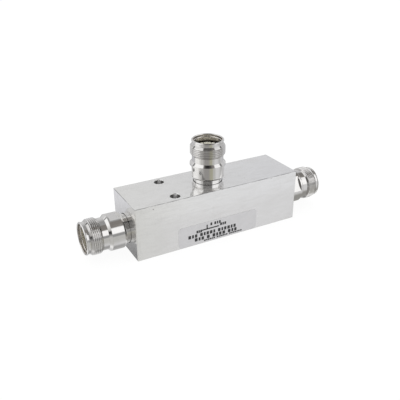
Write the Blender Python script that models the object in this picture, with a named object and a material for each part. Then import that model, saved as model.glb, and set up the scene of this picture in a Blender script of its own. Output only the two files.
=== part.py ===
"""Three-port coaxial signal tapper: a bored aluminium bar with three threaded jacks.

Units are metres and +Z is up. The origin is the centre of the bar's underside. The main line
runs along X, from the input jack at -X to the output jack at +X, and the tap jack stands on top.
"""

import math

import bmesh
import bpy
from mathutils import Matrix

# Bar
BLOCK_LENGTH = 0.1025
BLOCK_WIDTH = 0.0312
BLOCK_HEIGHT = 0.0308
AXIS_HEIGHT = 0.0131
EDGE_BREAK = 0.0003
MAIN_BORE_RADIUS = 0.0064
TAP_BORE_RADIUS = 0.0052

# Screw holes through the bar, from top to bottom
SCREW_HOLE_RADIUS = 0.00275
SCREW_HOLE_SPACING = 0.0208
SCREW_HOLE_FROM_END = 0.0254
SCREW_HOLE_CHAMFER = 0.0003

# Gap that fitted pieces keep to each other
FIT_GAP = 0.0003

# Jack shell, outside, from the spigot in the bar to the rim
SPIGOT_RADIUS = 0.0081
SPIGOT_LENGTH = 0.0080
NECK_LENGTH = 0.0028
COLLAR_BACK_RADIUS = 0.00915
COLLAR_BACK_BEVEL = 0.0011
COLLAR_RADIUS = 0.01015
COLLAR_LENGTH = 0.0069
COLLAR_FRONT_BEVEL = 0.0014
BARREL_RADIUS = 0.00885
BARREL_LENGTH = 0.0032
THREAD_TAIL = 0.0013
THREAD_RADIUS = 0.00995
THREAD_LENGTH = 0.0041
THREAD_LEAD = 0.0014
RELIEF_RADIUS = 0.0088
RELIEF_LENGTH = 0.0015
RIM_RADIUS = 0.00915
RIM_LENGTH = 0.0009
RIM_BEVEL = 0.0004
CORNER_BREAK = 0.0003

# Wrench flats across the collar, which leave a full ring at its front
FLATS_ACROSS = 0.0180
FLATS_RING = 0.0009

# Jack shell, inside
MOUTH_RADIUS = 0.0081
MOUTH_DEPTH = 0.0015
MOUTH_BEVEL = 0.0004
SOCKET_RADIUS = 0.0078
SOCKET_DEPTH = 0.0150
CORE_RADIUS = 0.0066
REAR_BORE_RADIUS = 0.0045

# Outer contact: a sleeve that ends in a slotted basket
BASKET_RECESS = 0.0042
BASKET_RADIUS = 0.0061
BASKET_TIP_RADIUS = 0.0064
BASKET_TIP_LENGTH = 0.0011
BASKET_BORE_RADIUS = 0.0051
FLANGE_THICKNESS = 0.0010
SLOT_COUNT = 8
SLOT_WIDTH = 0.0006
SLOT_LENGTH = 0.0080
BEAD_SEAT_RADIUS = 0.0056

# Insulating bead and the ring behind it
BEAD_SHOULDER_DEPTH = 0.0186
BEAD_LENGTH = 0.0050
BEAD_RECESS_DEPTH = 0.0008
BEAD_RIB = 0.0009
RETAINER_LENGTH = 0.0015
RETAINER_WALL = 0.0011

# Centre contact: a slotted socket in front of a shank and a pin
CONTACT_RECESS = 0.0050
CONTACT_RADIUS = 0.00215
CONTACT_BORE_RADIUS = 0.0013
CONTACT_BORE_DEPTH = 0.0062
CONTACT_SLOT_COUNT = 4
CONTACT_SLOT_WIDTH = 0.0004
CONTACT_SLOT_LENGTH = 0.0048
SHANK_RADIUS = 0.0016
PIN_RADIUS = 0.0011
PIN_LENGTH = 0.0040

# Seal ring in its groove near the spigot's inner end
SEAL_SECTION_RADIUS = 0.0006
SEAL_LAND = 0.0020

# Line conductors
LINE_END_RADIUS = 0.0026
LINE_INPUT_STEP_RADIUS = 0.0034
LINE_INPUT_STEP_LENGTH = 0.0170
LINE_OUTPUT_STEP_RADIUS = 0.0031
LINE_OUTPUT_STEP_LENGTH = 0.0170
HUB_RADIUS = 0.0042
HUB_LENGTH = 0.0110
TAP_LINE_RADIUS = 0.0022
TAP_TENON_RADIUS = 0.0013
TAP_TENON_LENGTH = 0.0025

# How far each jack is screwed round about its own axis, in degrees
INPUT_TURN = 0.0
OUTPUT_TURN = 60.0
TAP_TURN = -28.0

# Label on the front face
LABEL_WIDTH = 0.0508
LABEL_HEIGHT = 0.0127
LABEL_THICKNESS = 0.0001
LABEL_GAP = 0.0001
LABEL_CORNER_RADIUS = 0.0022
LABEL_CENTRE_X = -0.0015
LABEL_FROM_BASE = 0.0003

# Facets round a full turn
SHELL_FACETS = 28
BASKET_FACETS = 24
BEAD_FACETS = 14
SEAL_FACETS = 16
CONTACT_FACETS = 16
BORE_FACETS = 28
SCREW_HOLE_FACETS = 20
SEAL_SECTION_FACETS = 6
LABEL_CORNER_FACETS = 4

SMOOTH_ANGLE = math.radians(30)
CUT_MARGIN = 0.001
MERGE_DISTANCE = 0.000001

# Stations along a jack's axis, measured outwards from the bar's face
SPIGOT_END = -SPIGOT_LENGTH
COLLAR_BACK = NECK_LENGTH + COLLAR_BACK_BEVEL
COLLAR_FRONT = COLLAR_BACK + COLLAR_LENGTH
BARREL_BACK = COLLAR_FRONT + COLLAR_FRONT_BEVEL
BARREL_FRONT = BARREL_BACK + BARREL_LENGTH
THREAD_BACK = BARREL_FRONT + THREAD_TAIL
THREAD_FRONT = THREAD_BACK + THREAD_LENGTH
RELIEF_BACK = THREAD_FRONT + THREAD_LEAD
RIM_BACK = RELIEF_BACK + RELIEF_LENGTH
PORT_REACH = RIM_BACK + RIM_LENGTH
SOCKET_FLOOR = PORT_REACH - SOCKET_DEPTH
BASKET_TIP = PORT_REACH - BASKET_RECESS
CONTACT_TIP = PORT_REACH - CONTACT_RECESS
BEAD_SHOULDER = PORT_REACH - BEAD_SHOULDER_DEPTH
BEAD_FRONT = BEAD_SHOULDER - FIT_GAP
BEAD_BACK = BEAD_FRONT - BEAD_LENGTH
RETAINER_FRONT = BEAD_BACK - FIT_GAP
RETAINER_BACK = RETAINER_FRONT - RETAINER_LENGTH
CORE_END = RETAINER_BACK - FIT_GAP
PIN_END = BEAD_BACK - PIN_LENGTH
LINE_END = BEAD_BACK - FIT_GAP
LINE_SOCKET_FLOOR = PIN_END - FIT_GAP

# Radii that follow from what fits in what
PORT_SEAT_RADIUS = SPIGOT_RADIUS + FIT_GAP
PORT_SEAT_DEPTH = SPIGOT_LENGTH + FIT_GAP
SEAL_GROOVE_RADIUS = PORT_SEAT_RADIUS - 2 * (FIT_GAP + SEAL_SECTION_RADIUS)
SEAL_GROOVE_WIDTH = 2 * (FIT_GAP + SEAL_SECTION_RADIUS)
BEAD_RADIUS = BEAD_SEAT_RADIUS - FIT_GAP
BEAD_HOLE_RADIUS = SHANK_RADIUS + FIT_GAP
LINE_SOCKET_RADIUS = PIN_RADIUS + FIT_GAP

METALS = {
    "aluminium": ((0.80, 0.80, 0.79), 0.38),
    "bright_plating": ((0.74, 0.72, 0.68), 0.18),
    "silver_plating": ((0.84, 0.83, 0.74), 0.26),
}
PLASTICS = {
    "white_fluoropolymer": ((0.88, 0.88, 0.86), 0.45),
    "black_rubber": ((0.03, 0.03, 0.03), 0.70),
    "label_film": ((0.72, 0.72, 0.74), 0.35),
}


def clear_scene():
    """Remove what the scene starts with."""
    for old in list(bpy.data.objects):
        bpy.data.objects.remove(old, do_unlink=True)


def make_material(name):
    """Return a Principled material from the tables of finishes."""
    metallic = 1.0 if name in METALS else 0.0
    colour, roughness = METALS[name] if name in METALS else PLASTICS[name]
    material = bpy.data.materials.new(name)
    material.use_nodes = True
    shader = material.node_tree.nodes["Principled BSDF"]
    shader.inputs["Base Color"].default_value = (*colour, 1.0)
    shader.inputs["Roughness"].default_value = roughness
    shader.inputs["Metallic"].default_value = metallic
    return material


def add_object(name, shape, parent=None, finish=None):
    """Turn a bmesh into a named object, smooth where its faces meet at a small angle."""
    bmesh.ops.recalc_face_normals(shape, faces=shape.faces)
    mesh = bpy.data.meshes.new(name)
    shape.to_mesh(mesh)
    shape.free()
    mesh.shade_smooth()
    mesh.set_sharp_from_angle(angle=SMOOTH_ANGLE)
    piece = bpy.data.objects.new(name, mesh)
    bpy.context.collection.objects.link(piece)
    piece.parent = parent
    if finish:
        mesh.materials.append(make_material(finish))
    return piece


def hide_cutter(cutter):
    """Keep a cutter in the file as a wire guide only."""
    cutter.hide_render = True
    cutter.display_type = "WIRE"
    return cutter


def cut(piece, cutter):
    """Subtract a cutter from a piece."""
    step = piece.modifiers.new("cut_" + cutter.name, "BOOLEAN")
    step.operation = "DIFFERENCE"
    step.solver = "EXACT"
    step.object = hide_cutter(cutter)


def add_port(name, location, tilt, turn):
    """Add the empty that carries one jack, turned about its own axis and then tilted over."""
    empty = bpy.data.objects.new(name + "_port", None)
    empty.location = location
    empty.rotation_mode = "ZYX"
    empty.rotation_euler = (0.0, tilt, math.radians(turn))
    bpy.context.collection.objects.link(empty)
    return empty


def turned(outline, facets):
    """Spin an outline of (radius, height) points about Z into one closed solid.

    An outline that starts and ends on the axis makes a solid bar; any other is closed into a ring.
    """
    shape = bmesh.new()
    points = [shape.verts.new((radius, 0.0, height)) for radius, height in outline]
    edges = [shape.edges.new(pair) for pair in zip(points, points[1:])]
    on_axis = outline[0][0] == 0.0 and outline[-1][0] == 0.0
    if not on_axis:
        edges.append(shape.edges.new((points[-1], points[0])))
    bmesh.ops.spin(
        shape,
        geom=points + edges,
        cent=(0.0, 0.0, 0.0),
        axis=(0.0, 0.0, 1.0),
        angle=math.tau,
        steps=facets,
        use_merge=True,
    )
    bmesh.ops.remove_doubles(shape, verts=shape.verts, dist=MERGE_DISTANCE)
    return shape


def add_box(shape, low, high, turn=0.0):
    """Add a box between two corners to a bmesh, turned about Z."""
    size = [top - bottom for bottom, top in zip(low, high)]
    middle = [(top + bottom) / 2 for bottom, top in zip(low, high)]
    place = Matrix.Rotation(turn, 4, "Z") @ Matrix.Translation(middle) @ Matrix.Diagonal((*size, 1.0))
    bmesh.ops.create_cube(shape, size=1.0, matrix=place)


def slot_cutter(name, parent, count, width, inner, outer, bottom, top):
    """Make one cutter of radial saw cuts, spaced evenly round the axis, half a pitch off X."""
    shape = bmesh.new()
    pitch = math.tau / count
    for index in range(count):
        turn = (index + 0.5) * pitch
        add_box(shape, (inner, -width / 2, bottom), (outer, width / 2, top), turn)
    return add_object(name, shape, parent)


def shell_outline():
    """Return a jack shell's section, from the spigot's end round the rim and back inside."""
    groove_back = SPIGOT_END + SEAL_LAND
    groove_front = groove_back + SEAL_GROOVE_WIDTH
    socket_step = MOUTH_RADIUS - SOCKET_RADIUS
    outside = [
        (SPIGOT_RADIUS, SPIGOT_END),
        (SPIGOT_RADIUS, groove_back),
        (SEAL_GROOVE_RADIUS, groove_back),
        (SEAL_GROOVE_RADIUS, groove_front),
        (SPIGOT_RADIUS, groove_front),
        (SPIGOT_RADIUS, NECK_LENGTH),
        (COLLAR_BACK_RADIUS, NECK_LENGTH),
        (COLLAR_RADIUS, COLLAR_BACK),
        (COLLAR_RADIUS, COLLAR_FRONT),
        (BARREL_RADIUS, BARREL_BACK),
        (BARREL_RADIUS, BARREL_FRONT),
        (THREAD_RADIUS, THREAD_BACK),
        (THREAD_RADIUS, THREAD_FRONT),
        (RELIEF_RADIUS, RELIEF_BACK),
        (RELIEF_RADIUS, RIM_BACK),
        (RIM_RADIUS, RIM_BACK + CORNER_BREAK),
        (RIM_RADIUS, PORT_REACH - RIM_BEVEL),
        (RIM_RADIUS - RIM_BEVEL, PORT_REACH),
    ]
    inside = [
        (MOUTH_RADIUS + MOUTH_BEVEL / 2, PORT_REACH),
        (MOUTH_RADIUS, PORT_REACH - MOUTH_BEVEL),
        (MOUTH_RADIUS, PORT_REACH - MOUTH_DEPTH),
        (SOCKET_RADIUS, PORT_REACH - MOUTH_DEPTH - socket_step),
        (SOCKET_RADIUS, SOCKET_FLOOR),
        (CORE_RADIUS, SOCKET_FLOOR),
        (CORE_RADIUS, CORE_END),
        (REAR_BORE_RADIUS, CORE_END),
        (REAR_BORE_RADIUS, SPIGOT_END),
    ]
    return outside + inside


def make_shell(port, name):
    """Turn a jack shell and mill the two wrench flats into its collar."""
    shell = add_object(name + "_connector_shell", turned(shell_outline(), SHELL_FACETS), port,
                       "bright_plating")
    flats = bmesh.new()
    reach = COLLAR_RADIUS + CUT_MARGIN
    bottom = NECK_LENGTH - CUT_MARGIN
    top = COLLAR_FRONT - FLATS_RING
    add_box(flats, (FLATS_ACROSS / 2, -reach, bottom), (reach, reach, top))
    add_box(flats, (-reach, -reach, bottom), (-FLATS_ACROSS / 2, reach, top))
    cut(shell, add_object(name + "_flats_cutter", flats, port))


def make_outer_contact(port, name):
    """Turn the outer contact and saw its front end into spring fingers."""
    flange_back = SOCKET_FLOOR + FIT_GAP
    flange_front = flange_back + FLANGE_THICKNESS
    tail_radius = CORE_RADIUS - FIT_GAP
    outline = [
        (tail_radius, RETAINER_BACK),
        (tail_radius, flange_back),
        (SOCKET_RADIUS - FIT_GAP, flange_back),
        (SOCKET_RADIUS - FIT_GAP, flange_front),
        (BASKET_RADIUS, flange_front),
        (BASKET_RADIUS, BASKET_TIP - BASKET_TIP_LENGTH - CORNER_BREAK),
        (BASKET_TIP_RADIUS, BASKET_TIP - BASKET_TIP_LENGTH),
        (BASKET_TIP_RADIUS, BASKET_TIP - CORNER_BREAK),
        (BASKET_TIP_RADIUS - CORNER_BREAK, BASKET_TIP),
        (BASKET_BORE_RADIUS, BASKET_TIP),
        (BASKET_BORE_RADIUS, BEAD_SHOULDER),
        (BEAD_SEAT_RADIUS, BEAD_SHOULDER),
        (BEAD_SEAT_RADIUS, RETAINER_BACK),
    ]
    basket = add_object(name + "_outer_contact", turned(outline, BASKET_FACETS), port,
                        "silver_plating")
    cutter = slot_cutter(name + "_basket_slot_cutter", port, SLOT_COUNT, SLOT_WIDTH,
                         BASKET_BORE_RADIUS - CUT_MARGIN, BASKET_TIP_RADIUS + CUT_MARGIN,
                         BASKET_TIP - SLOT_LENGTH, BASKET_TIP + CUT_MARGIN)
    cut(basket, cutter)


def make_insulator(port, name):
    """Turn the insulating bead, relieved on both faces between its hub and its rib."""
    relief_outer = BEAD_RADIUS - BEAD_RIB
    relief_inner = BEAD_HOLE_RADIUS + BEAD_RIB
    outline = [
        (BEAD_HOLE_RADIUS, BEAD_BACK),
        (relief_inner, BEAD_BACK),
        (relief_inner, BEAD_BACK + BEAD_RECESS_DEPTH),
        (relief_outer, BEAD_BACK + BEAD_RECESS_DEPTH),
        (relief_outer, BEAD_BACK),
        (BEAD_RADIUS, BEAD_BACK),
        (BEAD_RADIUS, BEAD_FRONT),
        (relief_outer, BEAD_FRONT),
        (relief_outer, BEAD_FRONT - BEAD_RECESS_DEPTH),
        (relief_inner, BEAD_FRONT - BEAD_RECESS_DEPTH),
        (relief_inner, BEAD_FRONT),
        (BEAD_HOLE_RADIUS, BEAD_FRONT),
    ]
    add_object(name + "_insulator", turned(outline, BEAD_FACETS), port, "white_fluoropolymer")


def make_retainer(port, name):
    """Turn the ring that is pressed into the sleeve behind the bead."""
    outline = [
        (BEAD_RADIUS - RETAINER_WALL, RETAINER_BACK),
        (BEAD_RADIUS, RETAINER_BACK),
        (BEAD_RADIUS, RETAINER_FRONT),
        (BEAD_RADIUS - RETAINER_WALL, RETAINER_FRONT),
    ]
    add_object(name + "_insulator_retainer", turned(outline, BEAD_FACETS), port, "silver_plating")


def make_centre_contact(port, name):
    """Turn the centre contact: a slotted socket in front, a shank in the bead and a pin behind."""
    bore_floor = CONTACT_TIP - CONTACT_BORE_DEPTH
    shoulder = BEAD_FRONT + FIT_GAP
    outline = [
        (0.0, PIN_END),
        (PIN_RADIUS, PIN_END),
        (PIN_RADIUS, BEAD_BACK),
        (SHANK_RADIUS, BEAD_BACK),
        (SHANK_RADIUS, shoulder),
        (CONTACT_RADIUS, shoulder),
        (CONTACT_RADIUS, CONTACT_TIP - CORNER_BREAK),
        (CONTACT_RADIUS - CORNER_BREAK, CONTACT_TIP),
        (CONTACT_BORE_RADIUS, CONTACT_TIP),
        (CONTACT_BORE_RADIUS, bore_floor),
        (0.0, bore_floor),
    ]
    contact = add_object(name + "_centre_contact", turned(outline, CONTACT_FACETS), port,
                         "silver_plating")
    cutter = slot_cutter(name + "_contact_slot_cutter", port, CONTACT_SLOT_COUNT,
                         CONTACT_SLOT_WIDTH, CONTACT_BORE_RADIUS / 2, CONTACT_RADIUS + CUT_MARGIN,
                         CONTACT_TIP - CONTACT_SLOT_LENGTH, CONTACT_TIP + CUT_MARGIN)
    cut(contact, cutter)


def make_seal(port, name):
    """Mould the seal ring in the middle of the spigot's groove."""
    centre_radius = SEAL_GROOVE_RADIUS + FIT_GAP + SEAL_SECTION_RADIUS
    centre_height = SPIGOT_END + SEAL_LAND + SEAL_GROOVE_WIDTH / 2
    outline = []
    for index in range(SEAL_SECTION_FACETS):
        angle = math.tau * index / SEAL_SECTION_FACETS
        outline.append((centre_radius + SEAL_SECTION_RADIUS * math.cos(angle),
                        centre_height + SEAL_SECTION_RADIUS * math.sin(angle)))
    add_object(name + "_seal", turned(outline, SEAL_FACETS), port, "black_rubber")


def make_jack(name, location, tilt, turn):
    """Make one jack, with its axis along its empty's Z and the bar's face at its origin."""
    port = add_port(name, location, tilt, turn)
    make_shell(port, name)
    make_outer_contact(port, name)
    make_insulator(port, name)
    make_retainer(port, name)
    make_centre_contact(port, name)
    make_seal(port, name)


def main_bore_cutter():
    """Make the cutter of the main bore and the two end port seats, along the main line."""
    face = BLOCK_LENGTH / 2
    seat_floor = face - PORT_SEAT_DEPTH
    outline = [
        (0.0, -face - CUT_MARGIN),
        (PORT_SEAT_RADIUS, -face - CUT_MARGIN),
        (PORT_SEAT_RADIUS, -seat_floor),
        (MAIN_BORE_RADIUS, -seat_floor),
        (MAIN_BORE_RADIUS, seat_floor),
        (PORT_SEAT_RADIUS, seat_floor),
        (PORT_SEAT_RADIUS, face + CUT_MARGIN),
        (0.0, face + CUT_MARGIN),
    ]
    cutter = add_object("main_bore_cutter", turned(outline, BORE_FACETS))
    cutter.location.z = AXIS_HEIGHT
    cutter.rotation_euler.y = math.pi / 2
    return cutter


def tap_bore_cutter():
    """Make the cutter of the tap bore and the top port seat."""
    seat_floor = BLOCK_HEIGHT - PORT_SEAT_DEPTH
    outline = [
        (0.0, AXIS_HEIGHT),
        (TAP_BORE_RADIUS, AXIS_HEIGHT),
        (TAP_BORE_RADIUS, seat_floor),
        (PORT_SEAT_RADIUS, seat_floor),
        (PORT_SEAT_RADIUS, BLOCK_HEIGHT + CUT_MARGIN),
        (0.0, BLOCK_HEIGHT + CUT_MARGIN),
    ]
    return add_object("tap_bore_cutter", turned(outline, BORE_FACETS))


def screw_hole_cutter(name, side):
    """Make the cutter of one screw hole, flared at both faces of the bar."""
    flare = SCREW_HOLE_RADIUS + SCREW_HOLE_CHAMFER + CUT_MARGIN
    outline = [
        (0.0, -CUT_MARGIN),
        (flare, -CUT_MARGIN),
        (SCREW_HOLE_RADIUS, SCREW_HOLE_CHAMFER),
        (SCREW_HOLE_RADIUS, BLOCK_HEIGHT - SCREW_HOLE_CHAMFER),
        (flare, BLOCK_HEIGHT + CUT_MARGIN),
        (0.0, BLOCK_HEIGHT + CUT_MARGIN),
    ]
    cutter = add_object(name, turned(outline, SCREW_HOLE_FACETS))
    cutter.location.x = SCREW_HOLE_FROM_END - BLOCK_LENGTH / 2
    cutter.location.y = side * SCREW_HOLE_SPACING / 2
    return cutter


def make_housing():
    """Cut the bar to length, break its edges and bore it."""
    bar = bmesh.new()
    add_box(bar, (-BLOCK_LENGTH / 2, -BLOCK_WIDTH / 2, 0.0),
            (BLOCK_LENGTH / 2, BLOCK_WIDTH / 2, BLOCK_HEIGHT))
    housing = add_object("housing", bar, finish="aluminium")
    edges = housing.modifiers.new("edge_break", "BEVEL")
    edges.width = EDGE_BREAK
    edges.segments = 1
    edges.limit_method = "ANGLE"
    cut(housing, main_bore_cutter())
    cut(housing, tap_bore_cutter())
    cut(housing, screw_hole_cutter("front_screw_hole_cutter", -1))
    cut(housing, screw_hole_cutter("back_screw_hole_cutter", 1))


def make_main_line():
    """Turn the stepped main line and drill its hub for the tap line's tenon."""
    line_end = BLOCK_LENGTH / 2 + LINE_END
    socket_floor = BLOCK_LENGTH / 2 + LINE_SOCKET_FLOOR
    hub_end = HUB_LENGTH / 2
    input_step_end = hub_end + LINE_INPUT_STEP_LENGTH
    output_step_end = hub_end + LINE_OUTPUT_STEP_LENGTH
    outline = [
        (0.0, -socket_floor),
        (LINE_SOCKET_RADIUS, -socket_floor),
        (LINE_SOCKET_RADIUS, -line_end),
        (LINE_END_RADIUS, -line_end),
        (LINE_END_RADIUS, -input_step_end),
        (LINE_INPUT_STEP_RADIUS, -input_step_end),
        (LINE_INPUT_STEP_RADIUS, -hub_end),
        (HUB_RADIUS, -hub_end),
        (HUB_RADIUS, hub_end),
        (LINE_OUTPUT_STEP_RADIUS, hub_end),
        (LINE_OUTPUT_STEP_RADIUS, output_step_end),
        (LINE_END_RADIUS, output_step_end),
        (LINE_END_RADIUS, line_end),
        (LINE_SOCKET_RADIUS, line_end),
        (LINE_SOCKET_RADIUS, socket_floor),
        (0.0, socket_floor),
    ]
    line = add_object("main_line_conductor", turned(outline, CONTACT_FACETS),
                      finish="silver_plating")
    line.location.z = AXIS_HEIGHT
    line.rotation_euler.y = math.pi / 2
    tenon_floor = AXIS_HEIGHT + HUB_RADIUS - TAP_TENON_LENGTH - FIT_GAP
    drill = [
        (0.0, tenon_floor),
        (TAP_TENON_RADIUS + FIT_GAP, tenon_floor),
        (TAP_TENON_RADIUS + FIT_GAP, AXIS_HEIGHT + HUB_RADIUS + CUT_MARGIN),
        (0.0, AXIS_HEIGHT + HUB_RADIUS + CUT_MARGIN),
    ]
    cut(line, add_object("hub_drill_cutter", turned(drill, CONTACT_FACETS)))


def make_tap_line():
    """Turn the tap line, from its tenon in the hub up to the tap jack's bead."""
    shoulder = AXIS_HEIGHT + HUB_RADIUS + FIT_GAP
    line_end = BLOCK_HEIGHT + LINE_END
    socket_floor = BLOCK_HEIGHT + LINE_SOCKET_FLOOR
    outline = [
        (0.0, AXIS_HEIGHT + HUB_RADIUS - TAP_TENON_LENGTH),
        (TAP_TENON_RADIUS, AXIS_HEIGHT + HUB_RADIUS - TAP_TENON_LENGTH),
        (TAP_TENON_RADIUS, shoulder),
        (TAP_LINE_RADIUS, shoulder),
        (TAP_LINE_RADIUS, line_end),
        (LINE_SOCKET_RADIUS, line_end),
        (LINE_SOCKET_RADIUS, socket_floor),
        (0.0, socket_floor),
    ]
    add_object("tap_line_conductor", turned(outline, CONTACT_FACETS), finish="silver_plating")


def make_label():
    """Lay the thin film with rounded corners against the front face."""
    half_width = LABEL_WIDTH / 2 - LABEL_CORNER_RADIUS
    half_height = LABEL_HEIGHT / 2 - LABEL_CORNER_RADIUS
    corners = [(half_width, half_height), (-half_width, half_height),
               (-half_width, -half_height), (half_width, -half_height)]
    back = -BLOCK_WIDTH / 2 - LABEL_GAP
    shape = bmesh.new()
    outline = []
    for quarter, (corner_x, corner_z) in enumerate(corners):
        for index in range(LABEL_CORNER_FACETS + 1):
            angle = math.pi / 2 * (quarter + index / LABEL_CORNER_FACETS)
            outline.append(shape.verts.new((corner_x + LABEL_CORNER_RADIUS * math.cos(angle), 0.0,
                                            corner_z + LABEL_CORNER_RADIUS * math.sin(angle))))
    face = shape.faces.new(outline)
    grown = bmesh.ops.extrude_face_region(shape, geom=[face])
    front = [item for item in grown["geom"] if isinstance(item, bmesh.types.BMVert)]
    bmesh.ops.translate(shape, verts=front, vec=(0.0, -LABEL_THICKNESS, 0.0))
    label = add_object("label", shape, finish="label_film")
    label.location = (LABEL_CENTRE_X, back, LABEL_FROM_BASE + LABEL_HEIGHT / 2)


def make_tapper():
    """Make the whole tapper."""
    make_housing()
    make_main_line()
    make_tap_line()
    face = BLOCK_LENGTH / 2
    quarter = math.pi / 2
    make_jack("input", (-face, 0.0, AXIS_HEIGHT), -quarter, INPUT_TURN)
    make_jack("output", (face, 0.0, AXIS_HEIGHT), quarter, OUTPUT_TURN)
    make_jack("tap", (0.0, 0.0, BLOCK_HEIGHT), 0.0, TAP_TURN)
    make_label()


clear_scene()
make_tapper()
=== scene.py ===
"""Looks of the three-port coaxial tapper: turned jacks, a machined bar, a label and a white studio.

Units are metres, in the frame's own axes: +X along the main line, +Z up, -Y towards the label.
"""

import math

import bmesh
import bpy
from mathutils import Matrix, Vector


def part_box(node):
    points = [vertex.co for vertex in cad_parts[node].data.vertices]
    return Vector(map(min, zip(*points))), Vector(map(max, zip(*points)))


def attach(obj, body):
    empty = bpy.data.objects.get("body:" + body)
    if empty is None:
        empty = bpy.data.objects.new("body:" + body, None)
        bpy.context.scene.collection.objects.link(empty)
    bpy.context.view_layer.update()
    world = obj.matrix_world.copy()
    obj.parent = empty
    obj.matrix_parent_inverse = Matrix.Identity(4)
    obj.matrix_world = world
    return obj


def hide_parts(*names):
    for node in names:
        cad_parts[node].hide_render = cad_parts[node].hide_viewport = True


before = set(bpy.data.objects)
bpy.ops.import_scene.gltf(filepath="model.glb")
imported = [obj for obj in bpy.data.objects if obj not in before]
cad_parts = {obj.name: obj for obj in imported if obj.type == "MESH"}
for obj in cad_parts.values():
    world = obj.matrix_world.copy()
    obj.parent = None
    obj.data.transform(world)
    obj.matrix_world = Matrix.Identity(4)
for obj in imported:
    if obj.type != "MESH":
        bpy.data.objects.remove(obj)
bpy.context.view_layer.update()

BODY = "root"

# Camera, fitted to the bar's corners and the jacks' outlines in the 400 x 400 photograph
IMAGE_SIDE = 400.0
SENSOR_WIDTH = 36.0
FOCAL_PIXELS = 526.73
CAMERA_AZIMUTH = math.radians(-28.3746)
CAMERA_ELEVATION = math.radians(26.4603)
CAMERA_ROLL = math.radians(-0.4113)
CAMERA_DISTANCE = 0.30817
CAMERA_SLIDE_RIGHT = -0.0044668
CAMERA_SLIDE_UP = 0.0019192
CAMERA_CLIP_START = 0.01

# Jack shell, measured outwards from the bar's face
SPIGOT_RADIUS = 0.0081
SPIGOT_LENGTH = 0.0080
NECK_LENGTH = 0.0028
COLLAR_BACK_RADIUS = 0.00915
COLLAR_BACK = 0.0039
COLLAR_FRONT = 0.0108
COLLAR_RADIUS = 0.01015
BARREL_BACK = 0.0122
BARREL_RADIUS = 0.00885
BARREL_FRONT = 0.0154
THREAD_BACK = 0.0167
THREAD_FRONT = 0.0208
THREAD_RADIUS = 0.00995
THREAD_DEPTH = 0.00052
THREAD_PITCH = 0.0010
THREAD_CREST_SHARE = 0.22
THREAD_FLANK_SHARE = 0.64
RELIEF_BACK = 0.0222
RELIEF_RADIUS = 0.0088
RIM_BACK = 0.0237
RIM_RADIUS = 0.00915
RIM_BEVEL = 0.0004
FLATS_HALF_ACROSS = 0.0090
FLATS_BACK = 0.0018
FLATS_FRONT = 0.0099
SEAL_GROOVE_BACK = -0.0060
SEAL_GROOVE_FRONT = -0.0042
SEAL_GROOVE_RADIUS = 0.0066
MOUTH_RADIUS = 0.0081
MOUTH_DEPTH = 0.0015
MOUTH_BEVEL = 0.0004
SOCKET_RADIUS = 0.0078
SOCKET_DEPTH = 0.0150
CORE_RADIUS = 0.0066
CORE_END = -0.0014
REAR_BORE_RADIUS = 0.0045

# Outer contact
BASKET_RECESS = 0.0042
BASKET_RADIUS = 0.0061
BASKET_TIP_RADIUS = 0.0064
BASKET_TIP_LENGTH = 0.0011
BASKET_SWELL_START = BASKET_TIP_LENGTH * 1.5
BASKET_SWELL_END = BASKET_TIP_LENGTH * 0.6
BASKET_TIP_BEVEL = 0.0003
BASKET_MOUTH_BEVEL = 0.0002
BASKET_BORE_RADIUS = 0.0051
FLANGE_RADIUS = 0.0075
FLANGE_BACK = 0.0099
FLANGE_FRONT = 0.0109
BASKET_SLOTS = 8
BASKET_SLOT_WIDTH = 0.0006
BASKET_SLOT_LENGTH = 0.0080
SLEEVE_TAIL_RADIUS = 0.0063
SLEEVE_BACK = -0.0011
BEAD_SEAT_RADIUS = 0.0056
BEAD_SHOULDER = 0.0060

# Centre contact
CONTACT_RECESS = 0.0050
CONTACT_RADIUS = 0.00215
CONTACT_TIP_BEVEL = 0.0003
CONTACT_TIP_BEVEL_LENGTH = 0.0004
CONTACT_MOUTH_BEVEL = 0.0002
CONTACT_BORE_RADIUS = 0.0013
CONTACT_BORE_DEPTH = 0.0062
CONTACT_SLOTS = 4
CONTACT_SLOT_WIDTH = 0.0004
CONTACT_SLOT_LENGTH = 0.0048
CONTACT_SHOULDER = 0.0060
SHANK_RADIUS = 0.0016
BEAD_BACK = 0.0007
PIN_RADIUS = 0.0011
PIN_END = -0.0033

# Bar
EDGE_BREAK = 0.0003
PORT_SEAT_RADIUS = 0.0084
PORT_SEAT_DEPTH = 0.0083
MAIN_BORE_RADIUS = 0.0064
TAP_BORE_RADIUS = 0.0052
SCREW_HOLE_RADIUS = 0.00275
SCREW_HOLE_CHAMFER = 0.0003
SCREW_HOLE_SPACING = 0.0208
SCREW_HOLE_FROM_END = 0.0254

# Label film and its print
FILM_GAP = 0.00002
FILM_THICKNESS = 0.00006
FILM_CORNER_RADIUS = 0.0022
PRINT_THICKNESS = 0.00001

# Print rows: left end and middle height from the label's lower left corner, block height, block
# width, space between blocks, and how many blocks each group has
PRINT_ROWS = (
    (0.0059, 0.0056, 0.0021, 0.0017, 0.0006, (3, 5, 6)),
    (0.0099, 0.0031, 0.0021, 0.0018, 0.0006, (3, 1, 4, 3)),
    (0.0199, 0.0107, 0.0018, 0.0012, 0.0005, (1, 3)),
    (0.0262, 0.0090, 0.0017, 0.0013, 0.0003, (3,)),
    (0.0110, 0.0079, 0.0017, 0.0012, 0.0002, (3,)),
    (0.0157, 0.0013, 0.0009, 0.0012, 0.0002, (6, 6, 7)),
)
BLOCK_WIDTH_SHARES = (1.0, 0.7, 0.9)
CORNER_RADII_PER_BLOCK = 6
GROUP_SPACE_SHARE = 0.7

# Bar and stem of the tee mark: middle, from the label's lower left corner, and size
TEE_PLATES = (
    ((0.0200, 0.0082), (0.0110, 0.0008)),
    ((0.0178, 0.0096), (0.0008, 0.0026)),
)
TEE_CORNER_RADIUS = 0.0002

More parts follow.
